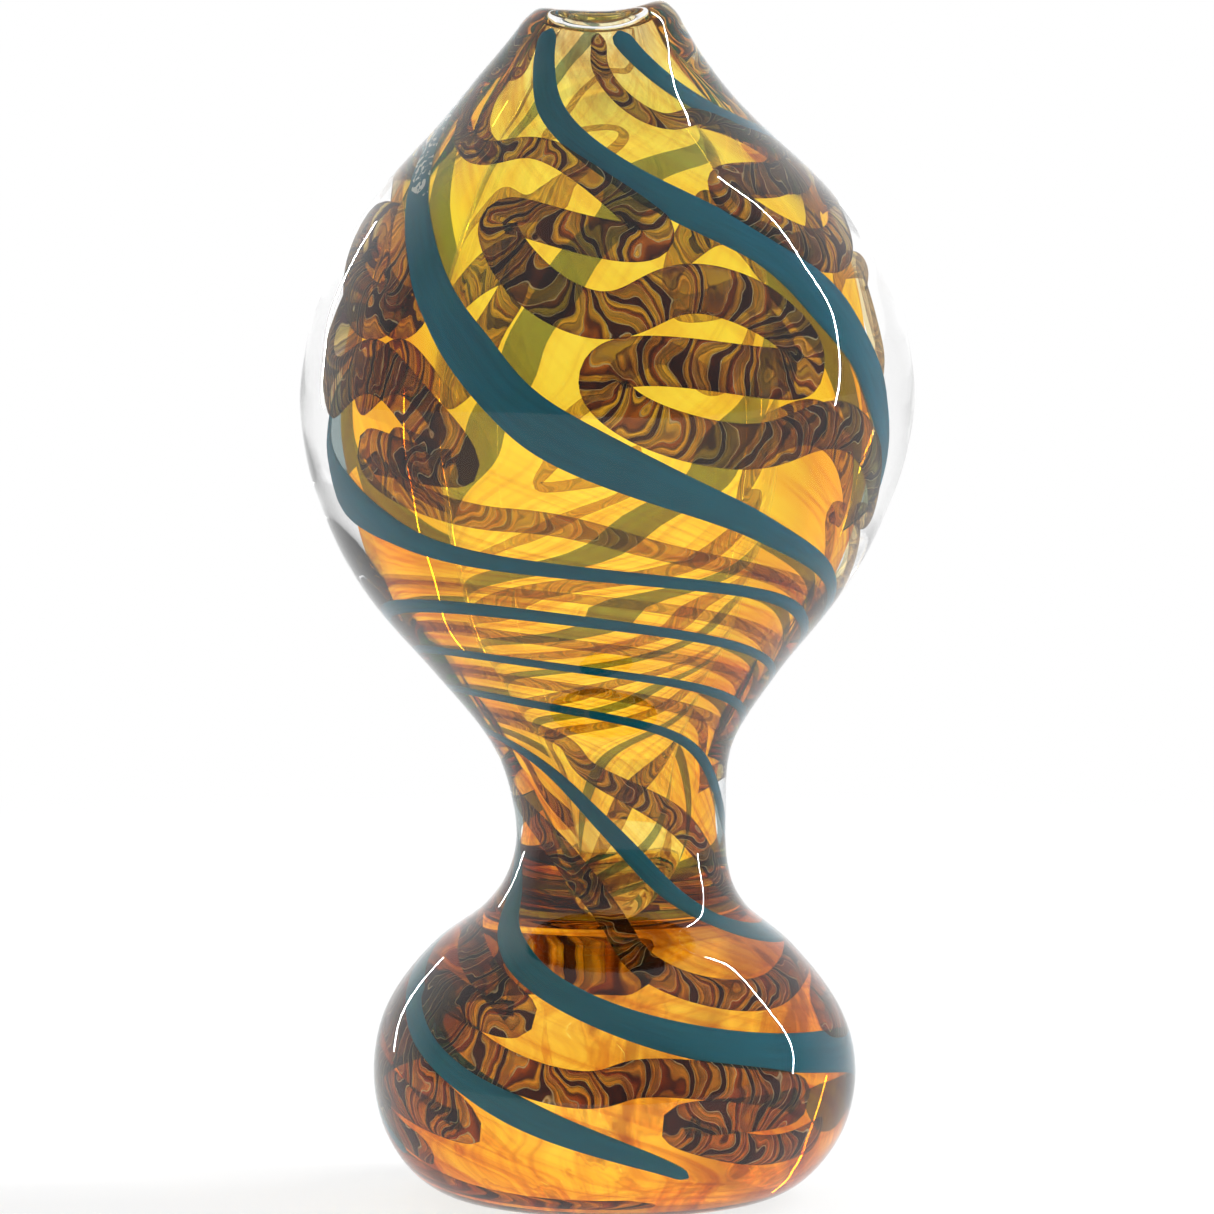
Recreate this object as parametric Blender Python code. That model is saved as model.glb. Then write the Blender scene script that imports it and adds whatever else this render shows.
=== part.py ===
"""A free-standing, hollow, lampworked glass vessel with twisted canes.

A thick clear casing has a pinched mouth, an onion body, a narrow neck and a bulb foot. A thin amber liner
stands inside it, open at the mouth. Three opaque teal canes and three striped canes lie on the liner and
follow one shared twist. The origin lies under the middle of the body, in the plane of the resting face.
+Z is up and -Y is the front. Lengths are in millimetres until a mesh is stored, which turns them into metres.
"""

import bisect
import math

import bmesh
import bpy
from mathutils import Vector

MM = 0.001
HEIGHT = 100.0
CLEARANCE = 0.32  # gap between neighbouring pieces, which are fused on the real vessel
SEGMENTS = 28  # facets round the casing and the liner
CANES = 3  # canes of each kind, spaced evenly round the liner

# Outlines as (radius, height), upwards. The casing runs from the edge of its resting face, over its rounded
# lip, to the top of its bore.
CASING_OUTLINE = (
    (10.5, 0.0), (14.4, 0.5), (17.5, 2.7), (19.7, 6.4), (20.4, 10.8), (19.2, 16.0), (15.3, 21.2),
    (11.0, 24.7), (9.2, 28.0), (8.9, 32.5), (10.2, 38.5), (14.6, 44.6), (20.3, 51.6), (24.2, 59.4),
    (25.8, 67.4), (24.2, 76.0), (19.5, 84.2), (13.2, 90.8), (9.3, 95.2), (8.1, 96.6), (7.1, 97.9),
    (6.3, 99.0), (5.3, 99.8), (4.3, 99.8), (3.6, 99.1), (3.4, 98.4),
)
LINER_OUTLINE = (
    (0.0, 3.6), (6.6, 3.8), (11.2, 5.2), (13.9, 8.6), (14.5, 12.0), (13.3, 16.8), (10.0, 21.6),
    (7.0, 25.2), (5.8, 29.0), (5.5, 33.0), (6.2, 38.5), (8.4, 44.6), (11.6, 51.6), (14.1, 59.4),
    (15.1, 67.4), (14.0, 76.0), (10.9, 84.2), (7.3, 90.8), (5.2, 95.2), (4.1, 97.7),
)
HOLLOW_OUTLINE = (
    (0.0, 21.0), (1.3, 21.6), (2.4, 24.0), (3.4, 28.0), (4.3, 33.0), (5.4, 38.5), (7.8, 44.6), (11.0, 51.6),
    (13.5, 59.4), (14.5, 67.4), (13.4, 76.0), (10.3, 84.2), (6.7, 90.8), (4.6, 95.2), (3.4, 97.7),
)
RINGS_PER_SPAN = 2  # facets between two outline points

# The lip closes the casing over the liner's top edge.
BORE_RADIUS = CASING_OUTLINE[-1][0]
CAVITY_TOP = LINER_OUTLINE[-1][1] + CLEARANCE
FLOOR_DISH = 0.1  # the cavity's floor dips this much at its middle

# Angle of the first teal cane about +Z, in degrees from the front, at each height. It turns fast where the
# body was twisted hardest, just above the neck.
TWIST = (
    (5.0, 990.0), (14.0, 867.0), (20.0, 798.0), (27.0, 747.0), (33.0, 702.0), (39.0, 656.0), (42.0, 612.0),
    (46.0, 509.0), (49.5, 416.0), (53.0, 318.0), (56.5, 205.0), (60.0, 157.0), (66.0, 106.0), (72.0, 79.0),
    (80.0, 44.0), (90.0, -13.0), (97.0, -54.0),
)
# The turns lean sideways by a share of the liner's radius, and in the foot they also rise towards the back.
TWIST_LEAN = ((5.0, 0.0), (30.0, -0.02), (42.0, 0.02), (70.0, 0.03), (84.0, -0.03), (97.0, 0.0))
TWIST_TILT = ((5.0, 0.12), (12.0, 0.17), (20.0, 0.11), (28.0, 0.03), (36.0, 0.0), (97.0, 0.0))

# Degrees by which each teal cane strays from the shared twist near the mouth.
TEAL_DRIFT = (
    ((5.0, 0.0), (78.0, 0.0), (84.0, -11.0), (90.0, -12.0), (94.0, -4.0), (97.6, 2.0)),
    ((5.0, 0.0), (97.6, 0.0)),
    ((5.0, 0.0), (78.0, 0.0), (90.0, -40.0), (97.6, -45.0)),
)

# Cane sizes at each height. Both kinds are flattened against the liner to one thickness.
CANE_THICKNESS = (
    (5.0, 0.7), (12.0, 1.1), (24.0, 0.9), (34.0, 0.8), (50.0, 0.6), (60.0, 0.9), (72.0, 1.1), (97.0, 0.6),
)
TEAL_WIDTH = (
    (5.0, 1.0), (8.0, 2.1), (12.0, 2.5), (16.0, 2.4), (20.0, 2.3), (24.0, 1.8), (32.0, 1.4), (42.0, 1.0),
    (54.0, 1.1), (58.0, 1.7), (63.0, 3.2), (70.0, 3.7), (78.0, 3.1), (86.0, 2.4), (97.0, 1.7),
)
STRIPED_WIDTH = (
    (5.0, 1.2), (9.0, 2.6), (14.0, 2.8), (24.0, 2.0), (32.0, 1.8), (44.0, 1.2), (54.0, 1.2), (60.0, 2.0),
    (66.0, 3.2), (76.0, 3.6), (84.0, 2.8), (90.0, 1.6), (97.0, 1.2),
)
CANE_SIDES = 6
TEAL_STATIONS = 74
STRIPED_STATIONS = 86
CANE_ENDS = (5.4, 96.6)

# A striped cane swings to both sides of the line midway between two teal canes.
SWING_DEGREES = (
    (5.0, 6.0), (12.0, 16.0), (24.0, 10.0), (36.0, 8.0), (54.0, 6.0), (62.0, 12.0), (70.0, 17.0), (97.0, 4.0),
)
SWING_CYCLES = ((5.0, 10.0), (26.0, 7.4), (42.0, 6.2), (58.0, 5.2), (97.0, 0.0))

# Hand-made irregularity shared by every piece: the centre line wanders, and the mouth is pinched.
CENTRE_LINE = (
    (0.0, 0.5), (12.0, 0.6), (22.0, 0.5), (31.0, 1.15), (40.0, 0.3), (50.0, -0.3), (66.0, 0.0), (82.0, 0.0),
    (94.0, -0.8), (100.0, -0.5),
)
PINCH_FROM = 92.0
FRONT_PINCH = 0.08
BACK_PINCH = 0.05
# The lip rises into a lobe on the left and a higher one on the right.
LEFT_LIFT = 0.3
RIGHT_LIFT = 0.9

CLEAR = {"name": "clear_glass", "color": (0.95, 0.97, 0.97), "roughness": 0.02, "transmission": 1.0}
AMBER = {"name": "amber_glass", "color": (0.95, 0.55, 0.06), "roughness": 0.04, "transmission": 0.8}
TEAL = {"name": "teal_glass", "color": (0.015, 0.16, 0.21), "roughness": 0.12, "transmission": 0.0}
STRIPED = {"name": "striped_glass", "color": (0.16, 0.09, 0.05), "roughness": 0.12, "transmission": 0.3}


def value_at(points, x):
    """The smooth curve through (x, y) control points, as a cubic on each span."""
    last = len(points) - 1
    span = min(max(bisect.bisect_right([p[0] for p in points], x) - 1, 0), last - 1)

    def slope(i):
        low, high = points[max(i - 1, 0)], points[min(i + 1, last)]
        return (high[1] - low[1]) / (high[0] - low[0])

    (x0, y0), (x1, y1) = points[span], points[span + 1]
    width = x1 - x0
    t = min(max((x - x0) / width, 0.0), 1.0)
    rise = slope(span) * width * t * (1 - t) ** 2 - slope(span + 1) * width * t * t * (1 - t)
    return y0 + (y1 - y0) * t * t * (3 - 2 * t) + rise


def smooth_outline(outline, per_span):
    """Points of the Catmull-Rom curve through an outline's (radius, height) points."""
    points = [Vector(p) for p in outline]
    ends = [2 * points[0] - points[1]] + points + [2 * points[-1] - points[-2]]
    curve = []
    for a, b, c, d in zip(ends, ends[1:], ends[2:], ends[3:]):
        for step in range(per_span):
            t = step / per_span
            square = (2 * a - 5 * b + 4 * c - d) * t**2
            cube = (3 * b - a - 3 * c + d) * t**3
            curve.append(0.5 * (2 * b + (c - a) * t + square + cube))
    curve.append(points[-1])
    return [Vector((max(p.x, 0.0), p.y)) for p in curve]


FINE_LINER = smooth_outline(LINER_OUTLINE, 8)


def liner_surface(height):
    """(point, outward normal) of the liner's outer outline at a height, both as (radius, height)."""
    heights = [p.y for p in FINE_LINER]
    i = min(max(bisect.bisect_right(heights, height), 1), len(heights) - 1)
    low, high = FINE_LINER[i - 1], FINE_LINER[i]
    along = (high - low).normalized()
    return low.lerp(high, (height - low.y) / (high.y - low.y)), Vector((along.y, -along.x))


def hand_made(point):
    """Moves a point of the true turned shape to where the pinched, slightly wandering vessel has it."""
    x, y, z = point
    share = min(max((z - PINCH_FROM) / (HEIGHT - PINCH_FROM), 0.0), 1.0)
    share = share * share * (3 - 2 * share)
    radius = math.hypot(x, y)
    if radius > 0:
        front = max(-y / radius, 0.0) ** 2
        back = max(y / radius, 0.0) ** 2
        left = max(-x / radius, 0.0) ** 2
        right = max(x / radius, 0.0) ** 2
        squeeze = 1 - share * (FRONT_PINCH * front + BACK_PINCH * back)
        x *= squeeze
        y *= squeeze
        z += share * (LEFT_LIFT * left + RIGHT_LIFT * right)
    return Vector((x + value_at(CENTRE_LINE, z), y, z))


def glass(look):
    material = bpy.data.materials.new(look["name"])
    material.use_nodes = True
    shader = material.node_tree.nodes["Principled BSDF"]
    shader.inputs["Base Color"].default_value = (*look["color"], 1.0)
    shader.inputs["Metallic"].default_value = 0.0
    shader.inputs["Roughness"].default_value = look["roughness"]
    shader.inputs["IOR"].default_value = 1.47
    shader.inputs["Transmission Weight"].default_value = look["transmission"]
    material.diffuse_color = (*look["color"], 1.0)
    return material


def add_piece(name, bm, material):
    """Stores a millimetre bmesh as a smooth-shaded object in metres."""
    for vertex in bm.verts:
        vertex.co = hand_made(vertex.co) * MM
    bmesh.ops.recalc_face_normals(bm, faces=bm.faces)
    mesh = bpy.data.meshes.new(name)
    bm.to_mesh(mesh)
    bm.free()
    mesh.materials.append(material)
    mesh.shade_smooth()
    mesh.set_sharp_from_angle(angle=math.radians(50))
    piece = bpy.data.objects.new(name, mesh)
    bpy.context.collection.objects.link(piece)
    return piece


def turned(outline):
    """A bmesh of an outline of (radius, height) points spun about +Z."""
    bm = bmesh.new()
    verts = [bm.verts.new((radius, 0.0, height)) for radius, height in outline]
    edges = [bm.edges.new(pair) for pair in zip(verts, verts[1:])]
    bmesh.ops.spin(bm, geom=verts + edges, axis=(0, 0, 1), cent=(0, 0, 0), angle=math.tau, steps=SEGMENTS)
    bmesh.ops.remove_doubles(bm, verts=bm.verts, dist=0.001)
    return bm


def casing_outline():
    """Resting face, outer wall, lip, bore and the cavity round the liner and the canes."""
    outer = [Vector((0.0, 0.0))] + smooth_outline(CASING_OUTLINE, RINGS_PER_SPAN)
    bore = [Vector((BORE_RADIUS, CAVITY_TOP))]
    cavity = []
    for _, height in reversed(LINER_OUTLINE[1:]):
        point, normal = liner_surface(height)
        cavity.append(point + normal * (value_at(CANE_THICKNESS, height) + 2 * CLEARANCE))
    cavity[0].y = CAVITY_TOP
    floor = Vector((0.0, cavity[-1].y - FLOOR_DISH))
    return outer + bore + smooth_outline(cavity, RINGS_PER_SPAN) + [floor]


def clear_casing():
    add_piece("clear_casing", turned(casing_outline()), glass(CLEAR))


def amber_liner():
    outer = smooth_outline(LINER_OUTLINE, RINGS_PER_SPAN)
    hollow = [Vector(point) for point in HOLLOW_OUTLINE]
    add_piece("amber_liner", turned(outer + hollow[::-1]), glass(AMBER))


def cane_centre(height, degrees, thickness):
    """(centre, outward normal) of a cane lying on the liner at an angle from the front."""
    turn = math.radians(degrees)
    outward = Vector((math.sin(turn), -math.cos(turn), 0.0))
    surface, _ = liner_surface(height)
    slope = value_at(TWIST_LEAN, height) * outward.x + value_at(TWIST_TILT, height) * (1 + outward.y)
    surface, normal = liner_surface(height + slope * surface.x)
    lift = CLEARANCE + 0.5 * thickness
    normal3 = outward * normal.x + Vector((0.0, 0.0, normal.y))
    return outward * surface.x + Vector((0.0, 0.0, surface.y)) + normal3 * lift, normal3


def evenly_spaced(centre_at, count):
    """Heights that split the line centre_at(height) into steps of equal length."""
    fine = 600
    low, high = CANE_ENDS
    heights = [low + (high - low) * i / fine for i in range(fine + 1)]
    places = [centre_at(height) for height in heights]
    lengths = [0.0]
    for a, b in zip(places, places[1:]):
        lengths.append(lengths[-1] + (b - a).length)
    picked = []
    for step in range(count):
        wanted = lengths[-1] * step / (count - 1)
        i = min(max(bisect.bisect_left(lengths, wanted), 1), fine)
        share = (wanted - lengths[i - 1]) / (lengths[i] - lengths[i - 1])
        picked.append(heights[i - 1] + (heights[i] - heights[i - 1]) * share)
    return picked


def cane(name, degrees_at, widths, stations, material):
    """A flattened rod that follows degrees_at(height) along the liner."""

    def centre_at(height):
        return cane_centre(height, degrees_at(height), value_at(CANE_THICKNESS, height))[0]

    step = 0.05
    bm = bmesh.new()
    rings = []
    for height in evenly_spaced(centre_at, stations):
        thickness = value_at(CANE_THICKNESS, height)
        centre, normal = cane_centre(height, degrees_at(height), thickness)
        along = (centre_at(height + step) - centre_at(height - step)).normalized()
        side = along.cross(normal).normalized()
        ring = []
        for corner in range(CANE_SIDES):
            turn = math.tau * corner / CANE_SIDES
            across = side * (0.5 * value_at(widths, height) * math.cos(turn))
            ring.append(bm.verts.new(centre + across + normal * (0.5 * thickness * math.sin(turn))))
        rings.append(ring)
    for ring, following in zip(rings, rings[1:]):
        for i in range(CANE_SIDES):
            j = (i + 1) % CANE_SIDES
            bm.faces.new((ring[i], ring[j], following[j], following[i]))
    bm.faces.new(rings[0])
    bm.faces.new(rings[-1])
    add_piece(name, bm, material)


def teal_canes():
    material = glass(TEAL)
    for index in range(CANES):
        start = 360.0 / CANES * index

        def degrees_at(height, start=start, drift=TEAL_DRIFT[index]):
            return value_at(TWIST, height) - start + value_at(drift, height)

        cane(f"teal_cane_{index + 1}", degrees_at, TEAL_WIDTH, TEAL_STATIONS, material)


def striped_canes():
    material = glass(STRIPED)
    for index in range(CANES):
        middle = 360.0 / CANES * (index + 0.5)
        stagger = index / CANES
        sides = TEAL_DRIFT[index], TEAL_DRIFT[(index + 1) % CANES]

        def degrees_at(height, middle=middle, stagger=stagger, sides=sides):
            drift = 0.5 * (value_at(sides[0], height) + value_at(sides[1], height))
            swing = math.sin(math.tau * (value_at(SWING_CYCLES, height) + stagger))
            return value_at(TWIST, height) - middle + drift + value_at(SWING_DEGREES, height) * swing

        cane(f"striped_cane_{index + 1}", degrees_at, STRIPED_WIDTH, STRIPED_STATIONS, material)


for old in list(bpy.data.objects):
    bpy.data.objects.remove(old, do_unlink=True)

clear_casing()
amber_liner()
teal_canes()
striped_canes()
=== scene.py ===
"""Looks of the twisted-cane glass vessel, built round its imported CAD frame.

The pieces are modelled in millimetres on the CAD's own axes and stored in metres. Clear glass, amber liner
and canes are fused on the real vessel, so only the surfaces that meet air refract: the casing's outside and
lip, and the inside of the liner. Surfaces that meet other glass only tint or scatter.
"""

import math

import bpy
import numpy as np
from mathutils import Matrix, Vector


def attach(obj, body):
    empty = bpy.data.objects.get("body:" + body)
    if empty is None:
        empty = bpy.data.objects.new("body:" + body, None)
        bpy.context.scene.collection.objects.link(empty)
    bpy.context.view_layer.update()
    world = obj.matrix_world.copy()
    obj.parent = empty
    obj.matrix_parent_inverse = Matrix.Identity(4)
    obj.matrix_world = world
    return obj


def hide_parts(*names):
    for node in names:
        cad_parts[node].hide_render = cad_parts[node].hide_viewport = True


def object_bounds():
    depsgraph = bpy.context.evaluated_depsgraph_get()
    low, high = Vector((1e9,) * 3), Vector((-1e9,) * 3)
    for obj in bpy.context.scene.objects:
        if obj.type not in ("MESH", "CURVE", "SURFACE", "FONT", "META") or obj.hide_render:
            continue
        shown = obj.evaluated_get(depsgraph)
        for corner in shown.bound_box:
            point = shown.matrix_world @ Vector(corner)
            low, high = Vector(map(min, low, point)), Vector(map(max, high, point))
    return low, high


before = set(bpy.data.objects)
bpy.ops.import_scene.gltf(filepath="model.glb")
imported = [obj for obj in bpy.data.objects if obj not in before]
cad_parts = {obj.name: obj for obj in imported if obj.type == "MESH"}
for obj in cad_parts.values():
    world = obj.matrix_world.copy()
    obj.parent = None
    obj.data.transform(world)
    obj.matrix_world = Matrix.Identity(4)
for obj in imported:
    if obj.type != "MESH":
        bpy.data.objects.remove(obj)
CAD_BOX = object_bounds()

MM = 0.001
LOW = np.array(CAD_BOX[0]) / MM
HIGH = np.array(CAD_BOX[1]) / MM
HEIGHT = HIGH[2] - LOW[2]
GLASS_IOR = 1.47
WHITE = (1.0, 1.0, 1.0)

# ---------------------------------------------------------------- outlines, as (radius, height)
CASING_OUTLINE = (
    (10.5, 0.0), (14.4, 0.5), (17.5, 2.7), (19.7, 6.4), (20.4, 10.8), (19.2, 16.0), (15.3, 21.2),
    (11.0, 24.7), (9.2, 28.0), (8.9, 32.5), (10.2, 38.5), (14.6, 44.6), (20.3, 51.6), (24.2, 59.4),
    (25.8, 67.4), (24.2, 76.0), (19.5, 84.2), (13.2, 90.8), (9.3, 95.2), (8.1, 96.6), (7.1, 97.9),
    (6.3, 99.0), (5.3, 99.8), (4.3, 99.8), (3.6, 99.1), (3.4, 98.4),
)
LINER_OUTLINE = (
    (0.0, 3.6), (6.6, 3.8), (11.2, 5.2), (13.9, 8.6), (14.5, 12.0), (13.3, 16.8), (10.0, 21.6),
    (7.0, 25.2), (5.8, 29.0), (5.5, 33.0), (6.2, 38.5), (8.4, 44.6), (11.6, 51.6), (14.1, 59.4),
    (15.1, 67.4), (14.0, 76.0), (10.9, 84.2), (7.3, 90.8), (5.2, 95.2), (4.1, 97.7),
)
HOLLOW_OUTLINE = (
    (0.0, 21.0), (1.3, 21.6), (2.4, 24.0), (3.4, 28.0), (4.3, 33.0), (5.4, 38.5), (7.8, 44.6), (11.0, 51.6),
    (13.5, 59.4), (14.5, 67.4), (13.4, 76.0), (10.3, 84.2), (6.7, 90.8), (4.6, 95.2), (3.4, 97.7),
)
BORE_RADIUS = CASING_OUTLINE[-1][0]
# The casing's inner surface stands off the liner by CAVITY_LIFT, so that the canes lie between the two.
CAVITY_TOP = 97.82
CAVITY_LIFT = 1.45
CAVITY_HEIGHTS = (4.6, 96.4)
CAVITY_FLOOR = 4.0 - CAVITY_LIFT
CASING_SEGMENTS = 180
LINER_SEGMENTS = 144

# ---------------------------------------------------------------- the twist and the canes
# Curves are (height, value) pairs. TWIST is the angle from the front at which the first teal cane lies. TWIST_LEAN
# and TWIST_TILT raise a cane on the right and at the back, as a share of the liner's radius. TEAL_DRIFT is how many
# degrees each teal cane strays from the shared twist near the mouth.
TWIST = (
    (5.0, 990.0), (14.0, 867.0), (20.0, 798.0), (27.0, 747.0), (33.0, 702.0), (39.0, 656.0), (42.0, 612.0),
    (46.0, 509.0), (49.5, 416.0), (53.0, 318.0), (56.5, 205.0), (60.0, 157.0), (66.0, 106.0), (72.0, 79.0),
    (80.0, 44.0), (90.0, -13.0), (97.0, -54.0),
)
TWIST_LEAN = ((5.0, 0.0), (30.0, -0.02), (42.0, 0.02), (70.0, 0.03), (84.0, -0.03), (97.0, 0.0))
TWIST_TILT = ((5.0, 0.12), (12.0, 0.17), (20.0, 0.11), (28.0, 0.03), (36.0, 0.0), (97.0, 0.0))
TEAL_DRIFT = (
    ((5.0, 0.0), (78.0, 0.0), (84.0, -11.0), (90.0, -12.0), (94.0, -4.0), (97.6, 2.0)),
    ((5.0, 0.0), (97.6, 0.0)),
    ((5.0, 0.0), (78.0, 0.0), (90.0, -40.0), (97.6, -45.0)),
)
TEAL_WIDTH = (
    (5.0, 0.8), (8.0, 2.1), (12.0, 2.5), (16.0, 2.4), (20.0, 2.3), (24.0, 1.8), (32.0, 1.4), (42.0, 0.9),
    (54.0, 1.0), (58.0, 1.7), (63.0, 3.2), (70.0, 3.7), (78.0, 3.1), (86.0, 2.4), (97.0, 1.7),
)
TEAL_THICKNESS = ((5.0, 0.7), (12.0, 1.0), (24.0, 0.8), (50.0, 0.6), (60.0, 0.8), (72.0, 1.1), (97.0, 0.7))
STRIPED_WIDTH = (
    (5.0, 2.0), (9.0, 2.7), (14.0, 2.9), (24.0, 2.2), (32.0, 2.2), (44.0, 1.1), (54.0, 1.1), (60.0, 1.7),
    (66.0, 3.2), (76.0, 3.6), (84.0, 2.8), (90.0, 1.6), (98.0, 1.2),
)
STRIPED_THICKNESS = (
    (5.0, 0.7), (12.0, 1.2), (24.0, 0.9), (50.0, 0.5), (60.0, 0.9), (70.0, 1.15), (98.0, 0.6),
)

# Share of its full size that each striped cane has at each height: it is drawn thin on the far side.
STRIPED_SHARE = (
    ((5.0, 1.0), (98.0, 1.0)),
    ((5.0, 1.0), (76.0, 1.0), (79.0, 0.5), (98.0, 0.45)),
    ((5.0, 1.0), (50.0, 1.0), (56.0, 0.55), (73.0, 0.5), (77.0, 1.0), (98.0, 1.0)),
)

# How much of its own colour a striped cane shows: the drawn-out waist is paler.
STRIPED_STRENGTH = (
    (5.0, 1.0), (36.0, 0.9), (44.0, 0.5), (56.0, 0.45), (62.0, 0.75), (68.0, 1.0), (98.0, 1.0),
)
LEAST_STRENGTH = 0.35

# Each striped cane swings from side to side on its way down, and folds back as it crosses the middle.
# SWING_DROP is the height that one full swing takes, SWING_REACH its degrees to each side and SWING_FOLD the
# fold in millimetres. SWING_START is where in a swing each cane begins, and SWING_MIDDLE the degrees by which
# its middle is off the line midway between two teal canes.
SWING_DROP = ((5.0, 4.5), (13.0, 7.0), (22.0, 15.0), (42.0, 13.0), (58.0, 10.0), (78.0, 10.5), (97.0, 16.0))
SWING_REACH = (
    (5.0, 30.0), (14.0, 34.0), (21.0, 12.0), (30.0, 6.0), (38.0, 20.0), (45.0, 4.0), (57.0, 5.0),
    (63.0, 27.0), (74.0, 36.0), (86.0, 30.0), (97.0, 6.0),
)
SWING_FOLD = (
    (5.0, 0.4), (12.0, 1.1), (20.0, 0.4), (30.0, 0.0), (58.0, 0.0), (64.0, 1.5), (84.0, 1.9), (97.0, 0.2),
)
SWING_START = (0.20, 0.62, 0.45)
SWING_MIDDLE = (5.0, 2.0, -8.0)
SWING_TOP = 97.5
SWING_FOOT = 6.0
REACH_WAVE = 0.22
TEAL_TOP = 97.6
TEAL_FOOT = 5.2
CANES_PER_KIND = 3
CANE_SPACING = 360.0 / CANES_PER_KIND
FINE_STEPS = 3000

# ---------------------------------------------------------------- hand-made irregularity
CENTRE_LINE = (
    (0.0, 0.5), (12.0, 0.6), (22.0, 0.5), (31.0, 1.15), (40.0, 0.3), (50.0, -0.3), (66.0, 0.0), (82.0, 0.0),
    (94.0, -0.8), (100.0, -0.5),
)
PINCH_FROM = 92.0
PINCH_TO = 100.0
FRONT_PINCH = 0.08
BACK_PINCH = 0.05
# The lip rises into a lobe on the left and a higher one on the right.
LEFT_LIFT = 0.3
RIGHT_LIFT = 0.9
WAVE_SIZE = 0.0022


def curve_at(points, x):
    """Values of the smooth curve through (x, y) control points, for an array of x."""
    px = np.array([p[0] for p in points], float)
    py = np.array([p[1] for p in points], float)
    x = np.clip(np.asarray(x, float), px[0], px[-1])
    span = np.clip(np.searchsorted(px, x, side="right") - 1, 0, len(px) - 2)
    slopes = np.empty_like(py)
    slopes[1:-1] = (py[2:] - py[:-2]) / (px[2:] - px[:-2])
    slopes[0] = (py[1] - py[0]) / (px[1] - px[0])
    slopes[-1] = (py[-1] - py[-2]) / (px[-1] - px[-2])
    width = px[span + 1] - px[span]
    t = (x - px[span]) / width
    ease = t * t * (3 - 2 * t)
    rise = slopes[span] * width * t * (1 - t) ** 2 - slopes[span + 1] * width * t * t * (1 - t)
    return py[span] + (py[span + 1] - py[span]) * ease + rise


def through(points, per_span):
    """The Catmull-Rom curve through points, with per_span steps between two of them."""
    p = np.array(points, float)
    p = np.vstack([2 * p[0] - p[1], p, 2 * p[-1] - p[-2]])
    t = (np.arange(per_span) / per_span)[None, :, None]
    a, b, c, d = (p[i : len(p) - 3 + i][:, None, :] for i in range(4))
    curve = 0.5 * (2 * b + (c - a) * t + (2 * a - 5 * b + 4 * c - d) * t**2 + (3 * b - a - 3 * c + d) * t**3)
    return np.vstack([curve.reshape(-1, p.shape[1]), p[-2]])


def outline(points, per_span):
    """A turned profile through the points, kept off the far side of the axis."""
    curve = through(points, per_span)
    curve[:, 0] = np.maximum(curve[:, 0], 0.0)
    return curve


FINE_LINER = outline(LINER_OUTLINE, 16)


def liner_surface(height):
    """(radius, height) on the liner's outer surface at each height, and the outward normals there."""
    r = np.interp(height, FINE_LINER[:, 1], FINE_LINER[:, 0])
    step = 0.15
    above = np.interp(height + step, FINE_LINER[:, 1], FINE_LINER[:, 0])
    below = np.interp(height - step, FINE_LINER[:, 1], FINE_LINER[:, 0])
    normal = np.stack([np.full_like(r, 2 * step), below - above], -1)
    return np.stack([r, height], -1), normal / np.linalg.norm(normal, axis=-1, keepdims=True)


def hand_made(points):
    """Moves points of the true turned shape to where the pinched, slightly wandering vessel has them."""
    x, y, z = points[..., 0], points[..., 1], points[..., 2]
    share = np.clip((z - PINCH_FROM) / (PINCH_TO - PINCH_FROM), 0, 1)
    share = share * share * (3 - 2 * share)
    radius = np.maximum(np.hypot(x, y), 1e-9)
    front = np.maximum(-y / radius, 0) ** 2
    back = np.maximum(y / radius, 0) ** 2
    left = np.maximum(-x / radius, 0) ** 2
    right = np.maximum(x / radius, 0) ** 2
    squeeze = 1 - share * (FRONT_PINCH * front + BACK_PINCH * back)
    z = z + share * (LEFT_LIFT * left + RIGHT_LIFT * right)
    return np.stack([x * squeeze + curve_at(CENTRE_LINE, z), y * squeeze, z], -1)


def uneven(points):
    """Points of the casing's outside with the slow waves that fire and paddle leave in it."""
    turn = np.arctan2(points[:, 0], -points[:, 1])
    z = points[:, 2]
    wave = np.sin(3 * turn + 0.31 * z) + 0.7 * np.sin(5 * turn - 0.23 * z + 1.0)
    wave = wave + 0.5 * np.sin(2 * turn + 0.9 * z)
    fade = np.clip(z / 4, 0, 1) * np.clip((97 - z) / 12, 0, 1)
    scale = 1 + WAVE_SIZE * wave * fade
    return points * np.stack([scale, scale, np.ones_like(z)], -1)


# ---------------------------------------------------------------- mesh making
def store(name, points, faces, materials, face_slots=None, attributes=None):
    """A smooth-shaded object from points in millimetres, with its hand-made irregularity."""
    mesh = bpy.data.meshes.new(name)
    mesh.from_pydata((hand_made(points) * MM).tolist(), [], faces)
    mesh.validate()
    for material in materials:
        mesh.materials.append(material)
    if face_slots is not None:
        mesh.polygons.foreach_set("material_index", face_slots)
    for key, (kind, values) in (attributes or {}).items():
        layer = mesh.attributes.new(key, kind, "POINT")
        field = "vector" if kind == "FLOAT_VECTOR" else "value"
        layer.data.foreach_set(field, np.asarray(values, np.float32).ravel())
    mesh.shade_smooth()
    piece = bpy.data.objects.new(name, mesh)
    bpy.context.scene.collection.objects.link(piece)
    return piece


def ring_faces(first, second, count):
    """Quads between two rings of vertices, facing out when the rings run anticlockwise and go up."""
    return [(first + i, first + (i + 1) % count, second + (i + 1) % count, second + i) for i in range(count)]


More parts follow.
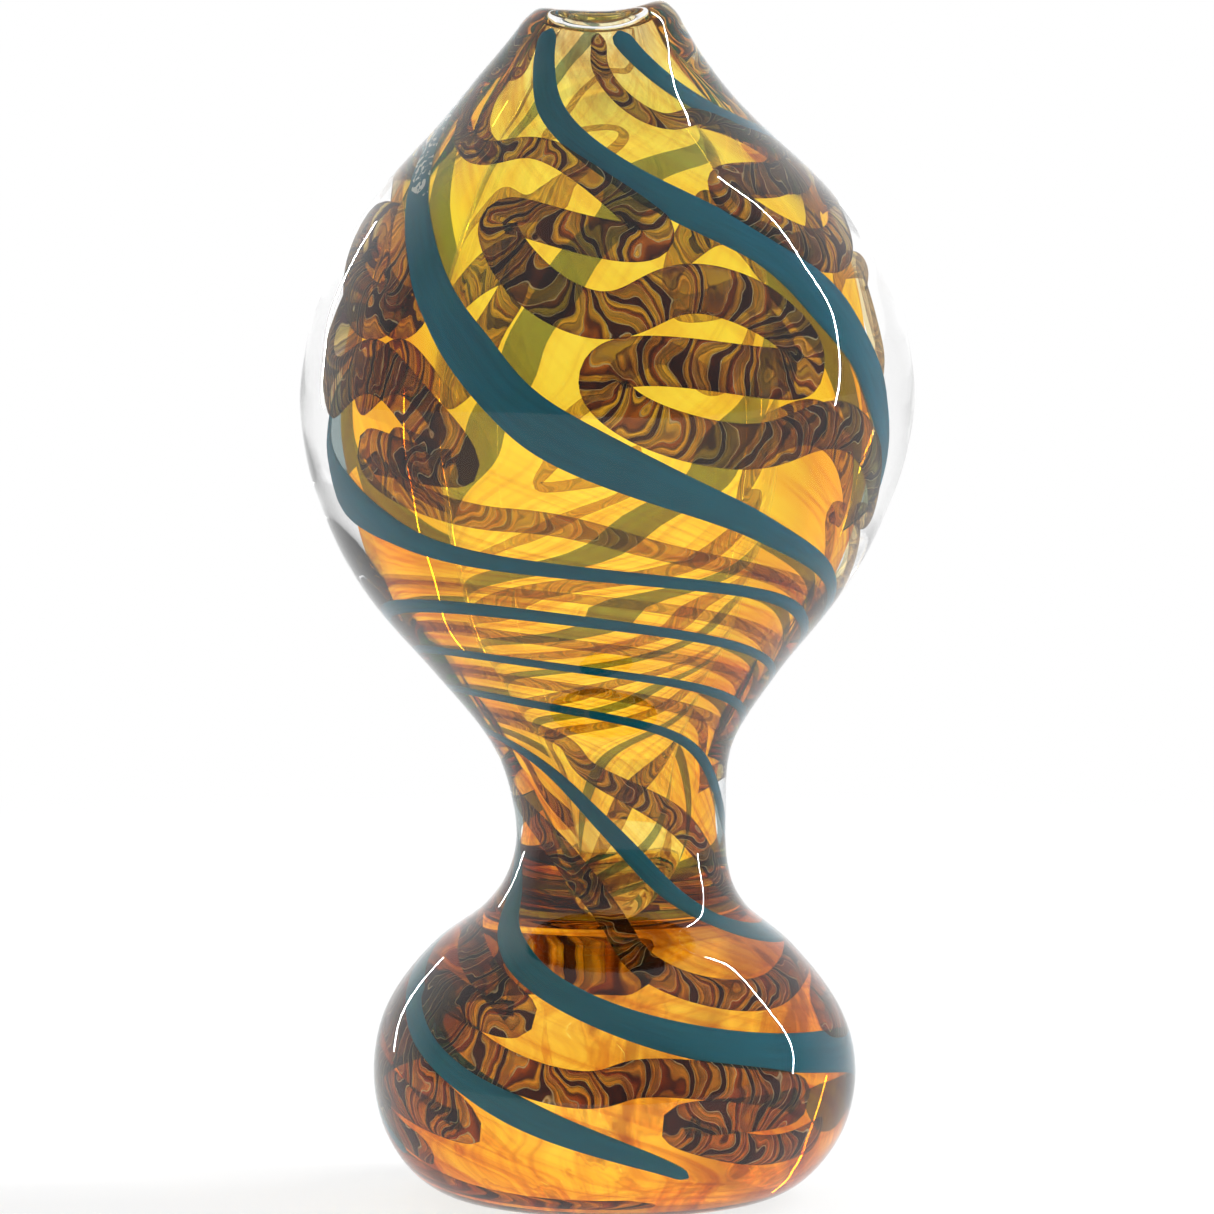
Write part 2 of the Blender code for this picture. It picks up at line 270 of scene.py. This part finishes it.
def turned(profile, segments):
    """(points, faces, profile row of each face) of a profile spun about +Z. Both ends lie on the axis."""
    angle = np.arange(segments) * math.tau / segments
    rings = profile[1:-1]
    ring_points = np.stack(
        [
            rings[:, None, 0] * np.sin(angle),
            -rings[:, None, 0] * np.cos(angle),
            np.repeat(rings[:, None, 1], segments, 1),
        ],
        -1,
    ).reshape(-1, 3)
    points = np.vstack([ring_points, [(0, 0, profile[0, 1])], [(0, 0, profile[-1, 1])]])
    low, high = len(ring_points), len(ring_points) + 1
    faces = [(low, (i + 1) % segments, i) for i in range(segments)]
    rows = [0] * segments
    for row in range(len(rings) - 1):
        faces += ring_faces(row * segments, (row + 1) * segments, segments)
        rows += [row + 1] * segments
    last = (len(rings) - 1) * segments
    faces += [(high, last + i, last + (i + 1) % segments) for i in range(segments)]
    rows += [len(rings)] * segments
    return points, faces, np.array(rows)


def twist_coordinates(points):
    """Places in the twisted frame, where lines along the canes are straight: (cosine, sine, height)."""
    z = np.clip(points[:, 2], 5, 97)
    angle = np.arctan2(points[:, 0], -points[:, 1]) - np.radians(curve_at(TWIST, z))
    return np.stack([np.cos(angle), np.sin(angle), points[:, 2] / 10], -1)


# ---------------------------------------------------------------- shader helpers
class Graph:
    """A material's node tree with short calls for what the glass needs."""

    def __init__(self, name):
        self.material = bpy.data.materials.new(name)
        self.material.use_nodes = True
        self.tree = self.material.node_tree
        self.tree.nodes.clear()
        self.output = self.add("ShaderNodeOutputMaterial")

    def add(self, kind, settings=None, **inputs):
        node = self.tree.nodes.new(kind)
        for key, value in (settings or {}).items():
            setattr(node, key, value)
        for key, value in inputs.items():
            self.set(node, key.replace("_", " "), value)
        return node

    def set(self, node, key, value):
        socket = node.inputs[int(key)] if key.isdigit() else node.inputs[key]
        if hasattr(value, "links"):
            self.tree.links.new(value, socket)
        else:
            socket.default_value = value

    def math(self, operation, *values):
        node = self.add("ShaderNodeMath", {"operation": operation})
        for i, value in enumerate(values):
            self.set(node, str(i), value)
        return node.outputs[0]

    def attribute(self, name, output="Fac"):
        return self.add("ShaderNodeAttribute", {"attribute_name": name}).outputs[output]

    def noise(self, vector, scale, detail=2.0, roughness=0.5):
        node = self.add("ShaderNodeTexNoise", Vector=vector, Scale=scale, Detail=detail, Roughness=roughness)
        return node.outputs["Fac"]

    def stretch(self, vector, scale):
        node = self.add("ShaderNodeVectorMath", {"operation": "MULTIPLY"})
        self.set(node, "0", vector)
        node.inputs[1].default_value = scale
        return node.outputs[0]

    def ramp(self, factor, stops, interpolation="LINEAR"):
        node = self.add("ShaderNodeValToRGB", Fac=factor)
        node.color_ramp.interpolation = interpolation
        elements = node.color_ramp.elements
        while len(elements) < len(stops):
            elements.new(1.0)
        for element, (place, color) in zip(elements, stops):
            element.position = place
            element.color = (*color, 1.0) if not isinstance(color, float) else (color, color, color, 1.0)
        return node.outputs["Color"]

    def mix_color(self, factor, a, b, blend="MIX"):
        node = self.add("ShaderNodeMix", {"data_type": "RGBA", "blend_type": blend})
        self.set(node, "0", factor)
        for index, value in ((6, a), (7, b)):
            if hasattr(value, "links"):
                self.tree.links.new(value, node.inputs[index])
            else:
                node.inputs[index].default_value = (*value, 1.0)
        return node.outputs[2]

    def mix_shader(self, factor, a, b):
        node = self.add("ShaderNodeMixShader")
        self.set(node, "0", factor)
        self.tree.links.new(a, node.inputs[1])
        self.tree.links.new(b, node.inputs[2])
        return node.outputs[0]

    def finish(self, shader):
        self.tree.links.new(shader, self.output.inputs["Surface"])
        return self.material


def refracting_glass(name):
    """Clear glass that meets air, fire-polished, so with no roughness."""
    g = Graph(name)
    shader = g.add("ShaderNodeBsdfPrincipled", IOR=GLASS_IOR, Roughness=0.0, Transmission_Weight=1.0)
    g.set(shader, "Base Color", (*WHITE, 1.0))
    return g.finish(shader.outputs[0])


def fused_clear():
    """Clear glass that meets other glass, which can't be seen."""
    g = Graph("fused_clear_glass")
    shader = g.add("ShaderNodeBsdfTransparent", Color=(*WHITE, 1.0))
    return g.finish(shader.outputs[0])


# Colour of one pass through the amber layer, how streaky it is and how much painted shade it takes, against height
# in decimetres.
AMBER_TINTS = (
    (0.05, (1.0, 0.77, 0.22)), (0.19, (0.98, 0.78, 0.21)), (0.26, (1.0, 0.80, 0.21)),
    (0.36, (1.0, 0.81, 0.21)), (0.50, (1.0, 0.79, 0.19)), (0.62, (1.0, 0.81, 0.19)),
    (0.78, (1.0, 0.86, 0.21)), (0.90, (1.0, 0.90, 0.34)), (0.975, (1.0, 0.95, 0.66)),
)
AMBER_STREAKS = (
    (0.05, 0.8), (0.22, 0.8), (0.34, 0.6), (0.44, 0.9), (0.57, 0.8), (0.64, 0.30), (0.80, 0.25), (0.97, 0.5),
)
# Painted shade: darker amber swirls, mostly in the thick foot and near the mouth, that stand in for light and dark
# bent through the glass.
AMBER_PAINTED_SHADE = ((0.05, 0.9), (0.22, 0.9), (0.34, 0.45), (0.46, 0.15), (0.60, 0.0), (0.86, 0.0), (0.96, 0.5))
PAINTED_SHADE_COLORS = (
    (0.48, WHITE), (0.505, (0.88, 0.72, 0.5)), (0.54, (1.0, 0.9, 0.8)), (0.62, (0.60, 0.42, 0.28)),
)
LEAST_COSINE = 0.62
SEED_SIZE = 0.075
# Straight light meets surfaces to air three times above SOLID_BELOW and once below it, in metres.
HOLLOW_PASSES = 3.5
SOLID_PASSES = 1.5
SOLID_BELOW = 0.031


def weaker_when_turned_back(g, share):
    """1 for light that goes straight through, and less by share for light turned back inside the glass.

    Real glass doesn't do this. Without it the foot and the neck go too dark.
    """
    height = g.add("ShaderNodeSeparateXYZ", Vector=g.add("ShaderNodeTexCoord").outputs["Object"]).outputs["Z"]
    solid = g.math("LESS_THAN", height, SOLID_BELOW)
    straight = g.math("SUBTRACT", HOLLOW_PASSES, g.math("MULTIPLY", solid, HOLLOW_PASSES - SOLID_PASSES))
    turned_back = g.math("GREATER_THAN", g.add("ShaderNodeLightPath").outputs["Ray Depth"], straight)
    return g.math("SUBTRACT", 1.0, g.math("MULTIPLY", turned_back, share))


def amber_tint():
    """The amber layer: its colour deepens where it is seen edge on, with streaks drawn out by the twist."""
    g = Graph("amber_glass")
    twist = g.attribute("twist", "Vector")
    facing = g.add("ShaderNodeLayerWeight", Blend=0.5).outputs["Facing"]
    cosine = g.math("SUBTRACT", 1.0, facing)
    depth = g.math("DIVIDE", 1.0, g.math("MAXIMUM", cosine, LEAST_COSINE))
    fine = g.noise(g.stretch(twist, (9, 9, 0.7)), 1.0, 4.0, 0.6)
    broad = g.noise(g.stretch(twist, (2.2, 2.2, 0.35)), 1.0, 2.0)
    height = g.math("MULTIPLY", g.add("ShaderNodeSeparateXYZ", Vector=twist).outputs["Z"], 0.1)
    depth = g.math("MULTIPLY", depth, weaker_when_turned_back(g, 0.75))
    streak = g.ramp(fine, ((0.46, WHITE), (0.54, (0.95, 0.84, 0.66)), (0.66, (0.82, 0.56, 0.34))))
    streak = g.mix_color(g.ramp(height, AMBER_STREAKS), WHITE, streak)
    shade = g.ramp(broad, ((0.40, (1.0, 1.03, 1.1)), (0.70, (0.98, 0.89, 0.75))))
    # Painted shade: swirls of darker amber that stand in for the streaks of light and dark bent through the thick
    # glass.
    place = g.add("ShaderNodeTexCoord").outputs["Object"]
    place = g.stretch(place, (85, 85, 50))
    swirl = g.add("ShaderNodeTexNoise", Vector=place, Scale=1.0, Detail=5.0, Distortion=2.2)
    painted_shade = g.ramp(swirl.outputs["Fac"], PAINTED_SHADE_COLORS)
    painted_shade = g.mix_color(g.ramp(height, AMBER_PAINTED_SHADE), WHITE, painted_shade)
    streak = g.mix_color(1.0, streak, shade, "MULTIPLY")
    tint = g.mix_color(1.0, g.ramp(height, AMBER_TINTS), streak, "MULTIPLY")
    tint = g.mix_color(1.0, tint, painted_shade, "MULTIPLY")
    # Seeds are the pinpoint bubbles of hand-blown glass.
    seeds = g.add("ShaderNodeTexVoronoi", Vector=g.stretch(twist, (34, 34, 12)), Scale=1.0)
    tint = g.mix_color(g.math("LESS_THAN", seeds.outputs["Distance"], SEED_SIZE), tint, (1.0, 0.97, 0.75))
    parts = g.add("ShaderNodeSeparateColor", Color=tint)
    deep = [g.math("POWER", parts.outputs[i], depth) for i in range(3)]
    color = g.add("ShaderNodeCombineColor", Red=deep[0], Green=deep[1], Blue=deep[2])
    shader = g.add("ShaderNodeBsdfTransparent", Color=color.outputs[0])
    return g.finish(shader.outputs[0])


# The patch of tiny bubbles on a teal cane: left of FROTH_RIGHT and above FROTH_FROM, in metres.
FROTH_RIGHT = -0.0075
FROTH_FROM = 0.0820


def teal():
    """Opaque teal with fine drawn-out lines and grain. Seen from inside the vessel it lets light through."""
    g = Graph("teal_glass")
    along = g.attribute("along")
    across = g.attribute("across")
    across = g.math("MULTIPLY", across, 4.0)
    place = g.add("ShaderNodeCombineXYZ", X=g.math("MULTIPLY", along, 0.25), Y=across)
    lines = g.noise(place.outputs[0], 1.0, 3.0)
    where = g.add("ShaderNodeTexCoord").outputs["Object"]
    spot = g.noise(where, 4200.0, 1.0)
    color = g.ramp(lines, ((0.3, (0.0, 0.105, 0.185)), (0.7, (0.001, 0.150, 0.245))))
    color = g.mix_color(g.math("MULTIPLY", spot, 0.25), color, (0.004, 0.20, 0.29))
    height = g.add("ShaderNodeSeparateXYZ", Vector=where).outputs["Z"]
    left = g.add("ShaderNodeSeparateXYZ", Vector=where).outputs["X"]
    near = g.math("LESS_THAN", left, FROTH_RIGHT)
    near = g.math("MULTIPLY", near, g.math("GREATER_THAN", height, FROTH_FROM))
    froth = g.math("GREATER_THAN", g.noise(where, 2000.0, 2.0), 0.54)
    color = g.mix_color(g.math("MULTIPLY", near, froth), color, (0.75, 0.80, 0.80))
    front = g.add("ShaderNodeBsdfDiffuse", Color=color)
    through = g.add("ShaderNodeBsdfTranslucent", Color=g.mix_color(0.5, color, (0.10, 0.30, 0.22)))
    outside = g.mix_shader(0.4, front.outputs[0], through.outputs[0])
    clear = g.add("ShaderNodeBsdfTransparent", Color=(0.58, 0.66, 0.66, 1.0))
    inside = g.mix_shader(0.14, clear.outputs[0], front.outputs[0])
    behind = g.add("ShaderNodeNewGeometry").outputs["Backfacing"]
    hidden = g.math("MAXIMUM", behind, g.math("LESS_THAN", g.attribute("outward"), 0.0))
    return g.finish(g.mix_shader(hidden, outside, inside))


DARK, CREAM, OLIVE = (0.014, 0.005, 0.008), (0.66, 0.63, 0.42), (0.14, 0.125, 0.035)
KHAKI, LILAC, BROWN = (0.30, 0.24, 0.08), (0.15, 0.11, 0.13), (0.14, 0.05, 0.015)
CLEAR_DARK, CLEAR_OLIVE, CLEAR_KHAKI = (0.10, 0.03, 0.05), (0.52, 0.44, 0.16), (0.76, 0.60, 0.26)
CLEAR_MAROON, CLEAR_LILAC = (0.2, 0.08, 0.06), (0.50, 0.40, 0.40)
CLEAR_BROWN, CLEAR_DEEP = (0.50, 0.20, 0.05), (0.16, 0.05, 0.03)

# One repeat of the stripes along a cane, from 0 to 1: the light they scatter, the light they let through, and
# how much they cover.
STRIPES = (
    (0.0, DARK), (0.17, DARK), (0.19, CREAM), (0.205, OLIVE), (0.33, KHAKI), (0.365, DARK), (0.38, OLIVE),
    (0.50, LILAC), (0.56, KHAKI), (0.585, CREAM), (0.60, BROWN), (0.74, DARK), (0.80, KHAKI), (0.93, OLIVE),
    (0.95, CREAM), (0.965, DARK),
)
CLEAR_STRIPES = (
    (0.0, CLEAR_DARK), (0.17, CLEAR_DARK), (0.19, CLEAR_KHAKI), (0.205, CLEAR_OLIVE), (0.33, CLEAR_KHAKI),
    (0.365, CLEAR_MAROON), (0.38, CLEAR_OLIVE), (0.50, CLEAR_LILAC), (0.56, CLEAR_KHAKI), (0.60, CLEAR_BROWN),
    (0.74, CLEAR_DEEP), (0.80, CLEAR_KHAKI), (0.95, CLEAR_OLIVE), (0.965, CLEAR_DARK),
)
STRIPE_COVER = (
    (0.0, 0.6), (0.17, 0.55), (0.19, 0.85), (0.21, 0.30), (0.33, 0.22), (0.365, 0.5), (0.38, 0.28),
    (0.50, 0.36), (0.56, 0.22), (0.585, 0.85), (0.60, 0.30), (0.74, 0.5), (0.80, 0.22), (0.93, 0.28),
    (0.95, 0.85), (0.965, 0.6),
)


def striped():
    """Translucent khaki glass crossed by stripes, near-black to cream, which slant and swirl along the cane."""
    g = Graph("striped_glass")
    along = g.attribute("along")
    across = g.attribute("across")
    fade = g.attribute("fade")
    place = g.add("ShaderNodeTexCoord").outputs["Object"]
    line = g.add("ShaderNodeCombineXYZ", X=along).outputs[0]
    slow = g.noise(line, 0.35, 1.0)
    slant = g.math("MULTIPLY", g.math("SUBTRACT", g.noise(line, 0.14, 1.0), 0.5), 4.5)
    wobble = g.math("MULTIPLY", g.noise(place, 260.0, 2.0), 1.2)
    square = g.math("MULTIPLY", across, across)
    turns = g.math("ADD", g.math("MULTIPLY", along, 0.36), g.math("MULTIPLY", slow, 1.8))
    turns = g.math("ADD", turns, g.math("MULTIPLY", across, slant))
    turns = g.math("ADD", g.math("ADD", turns, wobble), g.math("MULTIPLY", square, 0.28))
    phase = g.math("FRACT", turns)
    grain = g.add("ShaderNodeCombineXYZ", X=g.math("MULTIPLY", turns, 9.0), Y=g.math("MULTIPLY", across, 0.5))
    grain = g.noise(grain.outputs[0], 1.0, 2.0)
    lines = g.ramp(grain, ((0.44, WHITE), (0.60, (0.62, 0.48, 0.38))))
    rim = g.ramp(square, ((0.55, WHITE), (0.97, (0.60, 0.38, 0.22))))
    tint = g.ramp(phase, CLEAR_STRIPES)
    tint = g.mix_color(1.0, g.mix_color(1.0, tint, lines, "MULTIPLY"), rim, "MULTIPLY")
    scatter = g.mix_color(1.0, g.ramp(phase, STRIPES), lines, "MULTIPLY")
    cover = g.ramp(phase, STRIPE_COVER)
    body = g.mix_shader(
        0.5,
        g.add("ShaderNodeBsdfDiffuse", Color=scatter).outputs[0],
        g.add("ShaderNodeBsdfTranslucent", Color=scatter).outputs[0],
    )
    fade = g.math("MULTIPLY", fade, weaker_when_turned_back(g, 0.65))
    tint = g.mix_color(fade, (0.90, 0.76, 0.50), tint)
    clear = g.add("ShaderNodeBsdfTransparent", Color=tint)
    outer = g.mix_shader(g.math("MULTIPLY", cover, fade), clear.outputs[0], body)
    inner = g.add("ShaderNodeBsdfTransparent", Color=(0.92, 0.84, 0.62, 1.0))
    faces_out = g.math("GREATER_THAN", g.attribute("outward"), 0.0)
    return g.finish(g.mix_shader(faces_out, inner.outputs[0], outer))


# ---------------------------------------------------------------- pieces
def keep(piece, slot, *nodes):
    """Fixes a piece to the root body, in place of the CAD nodes that it shows."""
    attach(piece, "root")
    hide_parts(*nodes)
    return piece


def clear_casing():
    outer = outline(CASING_OUTLINE, 10)
    bore = np.array([(BORE_RADIUS, CAVITY_TOP)])
    heights = np.linspace(CAVITY_HEIGHTS[1], CAVITY_HEIGHTS[0], 70)
    surface, normal = liner_surface(heights)
    cavity = surface + normal * CAVITY_LIFT
    cavity = np.vstack([(cavity[0, 0], CAVITY_TOP), cavity, (0.0, CAVITY_FLOOR)])
    profile = np.vstack([[(0.0, 0.0)], outer, bore, cavity])
    points, faces, rows = turned(profile, CASING_SEGMENTS)
    first_fused = len(outer) + len(bore)
    outside = first_fused * CASING_SEGMENTS
    points[:outside] = uneven(points[:outside])
    slots = (rows >= first_fused).astype(int)
    looks = [refracting_glass("clear_glass"), fused_clear()]
    piece = store("clear_glass_casing", points, faces, looks, slots)
    return keep(piece, "clear_glass", "clear_casing")


def amber_liner():
    outer = outline(LINER_OUTLINE, 8)
    hollow = outline(HOLLOW_OUTLINE, 8)
    profile = np.vstack([outer, hollow[::-1]])
    points, faces, rows = turned(profile, LINER_SEGMENTS)
    slots = (rows >= len(outer)).astype(int)
    looks = [amber_tint(), refracting_glass("amber_inner_surface")]
    attributes = {"twist": ("FLOAT_VECTOR", twist_coordinates(points))}
    piece = store("amber_glass_liner", points, faces, looks, slots, attributes)
    return keep(piece, "amber_glass", "amber_liner")


def on_liner(heights, degrees, lift):
    """Points lifted off the liner's surface at heights and angles from the front, with the normals there."""
    turn = np.radians(degrees)
    outward = np.stack([np.sin(turn), -np.cos(turn), np.zeros_like(turn)], -1)
    surface, _ = liner_surface(heights)
    lean = curve_at(TWIST_LEAN, heights) * outward[:, 0]
    tilt = curve_at(TWIST_TILT, heights) * (1 + outward[:, 1])
    heights = heights + (lean + tilt) * surface[:, 0]
    surface, flat = liner_surface(heights)
    up = np.array([0.0, 0.0, 1.0])
    normal = outward * flat[:, :1] + up * flat[:, 1:]
    return outward * surface[:, :1] + up * surface[:, 1:] + normal * lift[:, None], normal


def cane(name, heights, degrees, widths, thicknesses, sides, material, fade=None):
    """A flattened rod along a path on the liner, with rounded ends."""
    centre, normal = on_liner(heights, degrees, 0.08 + 0.5 * thicknesses)
    along = np.gradient(centre, axis=0)
    steps = np.linalg.norm(np.diff(centre, axis=0), axis=1)
    length = np.concatenate([[0], np.cumsum(steps)])
    side = np.cross(normal, along)
    side /= np.linalg.norm(side, axis=1, keepdims=True)
    end = np.minimum(length, length[-1] - length) / 1.2
    rounding = np.sqrt(np.clip(1 - (1 - np.clip(end, 0.02, 1)) ** 2, 0, 1))[:, None, None]
    turn = np.arange(sides) * math.tau / sides
    ring = side[:, None] * np.cos(turn)[None, :, None] * (0.5 * widths)[:, None, None]
    ring = ring + normal[:, None] * np.sin(turn)[None, :, None] * (0.5 * thicknesses)[:, None, None]
    points = (centre[:, None] + ring * rounding).reshape(-1, 3)
    faces = []
    for row in range(len(centre) - 1):
        faces += ring_faces(row * sides, (row + 1) * sides, sides)
    faces.append(tuple(range(sides))[::-1])
    faces.append(tuple(range((len(centre) - 1) * sides, len(centre) * sides)))
    attributes = {
        "along": ("FLOAT", np.repeat(length, sides)),
        "outward": ("FLOAT", np.tile(np.sin(turn), len(centre))),
        "across": ("FLOAT", np.tile(np.cos(turn), len(centre))),
    }
    if fade is not None:
        attributes["fade"] = ("FLOAT", np.repeat(fade, sides))
    return store(name, points, faces, [material], None, attributes)


def even_steps(heights, degrees, step):
    """The same path on the liner with points about step millimetres apart."""
    places, _ = on_liner(heights, degrees, np.zeros_like(heights))
    length = np.concatenate([[0], np.cumsum(np.linalg.norm(np.diff(places, axis=0), axis=1))])
    wanted = np.linspace(0, length[-1], int(length[-1] / step))
    return np.interp(wanted, length, heights), np.interp(wanted, length, degrees)


def teal_canes():
    material = teal()
    for index in range(CANES_PER_KIND):
        heights = np.linspace(TEAL_TOP, TEAL_FOOT, FINE_STEPS)
        degrees = curve_at(TWIST, heights) - CANE_SPACING * index + curve_at(TEAL_DRIFT[index], heights)
        heights, degrees = even_steps(heights, degrees, 0.5)
        widths = curve_at(TEAL_WIDTH, heights)
        thick = curve_at(TEAL_THICKNESS, heights)
        piece = cane(f"teal_glass_cane_{index + 1}", heights, degrees, widths, thick, 18, material)
        keep(piece, "teal_glass", f"teal_cane_{index + 1}")


def swings(index):
    """Heights of one striped cane from the mouth down, and its degrees to the side of its band's middle."""
    level = np.linspace(SWING_TOP, SWING_FOOT, FINE_STEPS)
    drops = curve_at(SWING_DROP, level)
    done = np.concatenate([[0], np.cumsum(-np.diff(level) / drops[1:])])
    phase = math.tau * (SWING_START[index] + done)
    uneven_reach = 1.0 + REACH_WAVE * np.sin(0.41 * phase + 2.1 * index)
    heights = level + curve_at(SWING_FOLD, level) * np.sin(2.0 * phase)
    aside = SWING_MIDDLE[index] + uneven_reach * curve_at(SWING_REACH, level) * np.sin(phase)
    return heights, aside


def striped_canes():
    material = striped()
    for index in range(CANES_PER_KIND):
        heights, aside = swings(index)
        degrees = curve_at(TWIST, heights) - 0.5 * CANE_SPACING - CANE_SPACING * index + aside
        heights, degrees = even_steps(heights, degrees, 0.3)
        share = curve_at(STRIPED_SHARE[index], heights)
        widths = curve_at(STRIPED_WIDTH, heights) * share
        thick = curve_at(STRIPED_THICKNESS, heights) * np.sqrt(share)
        fade = np.clip(share, LEAST_STRENGTH, 1.0) * curve_at(STRIPED_STRENGTH, heights)
        piece = cane(f"striped_glass_cane_{index + 1}", heights, degrees, widths, thick, 20, material, fade)
        keep(piece, "striped_glass", f"striped_cane_{index + 1}")


# ---------------------------------------------------------------- stage
# Brightness of the light tent from straight in front (0) to straight behind (1).
TENT = (
    (0.0, 0.32), (0.25, 0.68), (0.45, 0.72), (0.55, 0.60),
    (0.65, 0.86), (0.73, 1.0), (0.90, 1.03), (1.0, 1.24),
)
FLOOR_GAP = 0.0002
FLOOR_HALF_SIDE = 3.0

# The camera is far off and level enough to look 5 degrees down. FRAME_WIDTH is what it shows at the vessel.
CAMERA_DISTANCE = 0.6
CAMERA_ELEVATION = math.radians(5.0)
CAMERA_AIM = 0.0499
FRAME_WIDTH = 0.1022
SENSOR_WIDTH = 36.0


def floor():
    """A pale floor, a quarter matt and three quarters glowing white under the vessel, and plain glowing white
    further out.
    """
    size = FLOOR_HALF_SIDE
    mesh = bpy.data.meshes.new("floor")
    corners = [(-size, -size, 0), (size, -size, 0), (size, size, 0), (-size, size, 0)]
    mesh.from_pydata(corners, [], [(0, 1, 2, 3)])
    plane = bpy.data.objects.new("floor", mesh)
    plane.location.z = LOW[2] * MM - FLOOR_GAP
    bpy.context.scene.collection.objects.link(plane)
    g = Graph("pale_floor")
    place = g.add("ShaderNodeTexCoord").outputs["Object"]
    distance = g.add("ShaderNodeVectorMath", {"operation": "LENGTH"})
    g.set(distance, "0", place)
    far = g.add("ShaderNodeMapRange", Value=distance.outputs["Value"])
    far.inputs["From Min"].default_value = 0.05
    far.inputs["From Max"].default_value = 0.30
    far.inputs["To Min"].default_value = 0.75
    matt = g.add("ShaderNodeBsdfDiffuse", Color=(0.95, 0.95, 0.95, 1.0))
    glow = g.add("ShaderNodeEmission", Color=(1.0, 1.0, 1.0, 1.0), Strength=1.0)
    mesh.materials.append(g.finish(g.mix_shader(far.outputs[0], matt.outputs[0], glow.outputs[0])))


def studio():
    """A white light tent: plain white to the camera, dimmer at the sides and in front for the glass."""
    world = bpy.data.worlds.new("studio")
    world.use_nodes = True
    tree = world.node_tree
    tree.nodes.clear()
    output = tree.nodes.new("ShaderNodeOutputWorld")
    background = tree.nodes.new("ShaderNodeBackground")
    background.inputs["Color"].default_value = (1.0, 1.0, 1.0, 1.0)
    direction = tree.nodes.new("ShaderNodeTexCoord")
    parts = tree.nodes.new("ShaderNodeSeparateXYZ")
    tree.links.new(direction.outputs["Generated"], parts.inputs[0])
    place = tree.nodes.new("ShaderNodeMapRange")
    place.inputs["From Min"].default_value = -1.0
    tree.links.new(parts.outputs["Y"], place.inputs["Value"])
    level = tree.nodes.new("ShaderNodeValToRGB")
    elements = level.color_ramp.elements
    while len(elements) < len(TENT):
        elements.new(1.0)
    for element, (where, strength) in zip(elements, TENT):
        element.position = where
        element.color = (strength, strength, strength, 1.0)
    tree.links.new(place.outputs[0], level.inputs[0])
    seen = tree.nodes.new("ShaderNodeLightPath")
    choose = tree.nodes.new("ShaderNodeMix")
    choose.inputs[3].default_value = 1.0
    tree.links.new(seen.outputs["Is Camera Ray"], choose.inputs[0])
    tree.links.new(level.outputs[0], choose.inputs[2])
    tree.links.new(choose.outputs[0], background.inputs["Strength"])
    tree.links.new(background.outputs[0], output.inputs["Surface"])
    bpy.context.scene.world = world


def strip_light(name, start, end, width, power):
    """A long narrow light from start to end that faces the vessel's middle and isn't seen by the camera."""
    start, end = Vector(start), Vector(end)
    light = bpy.data.lights.new(name, "AREA")
    light.shape = "RECTANGLE"
    light.size = width
    light.size_y = (end - start).length
    light.energy = power
    lamp = bpy.data.objects.new(name, light)
    middle = (start + end) / 2
    along = (end - start).normalized()
    away = middle - Vector((0.0, 0.0, 0.5 * HEIGHT * MM))
    away = (away - along * away.dot(along)).normalized()
    turn = Matrix((along.cross(away), along, away)).transposed()
    lamp.matrix_world = Matrix.Translation(middle) @ turn.to_4x4()
    lamp.visible_camera = False
    bpy.context.scene.collection.objects.link(lamp)


def lights():
    strip_light("right_strip", (0.97, 0.05, 0.00), (0.46, 0.26, 0.87), 0.009, 9.0)
    strip_light("left_strip", (-0.67, 0.60, 0.02), (-0.46, 0.66, 0.36), 0.012, 1.2)


def camera():
    data = bpy.data.cameras.new("camera")
    data.sensor_width = SENSOR_WIDTH
    data.lens = SENSOR_WIDTH * CAMERA_DISTANCE / FRAME_WIDTH
    data.clip_start = 0.01
    data.clip_end = 50.0
    eye = bpy.data.objects.new("camera", data)
    away = CAMERA_DISTANCE * math.cos(CAMERA_ELEVATION)
    eye.location = (0.0, -away, CAMERA_AIM + CAMERA_DISTANCE * math.sin(CAMERA_ELEVATION))
    eye.rotation_euler = (math.pi / 2 - CAMERA_ELEVATION, 0.0, 0.0)
    bpy.context.scene.collection.objects.link(eye)
    bpy.context.scene.camera = eye


def render_look():
    """Plain colours and enough bounces for light to get out of the nested glass."""
    scene = bpy.context.scene
    scene.view_settings.view_transform = "Standard"
    scene.cycles.max_bounces = 24
    scene.cycles.transmission_bounces = 24
    scene.cycles.transparent_max_bounces = 32
    scene.cycles.diffuse_bounces = 3
    scene.cycles.glossy_bounces = 8
    scene.cycles.sample_clamp_indirect = 6.0


clear_casing()
amber_liner()
teal_canes()
striped_canes()
floor()
studio()
lights()
camera()
render_look()
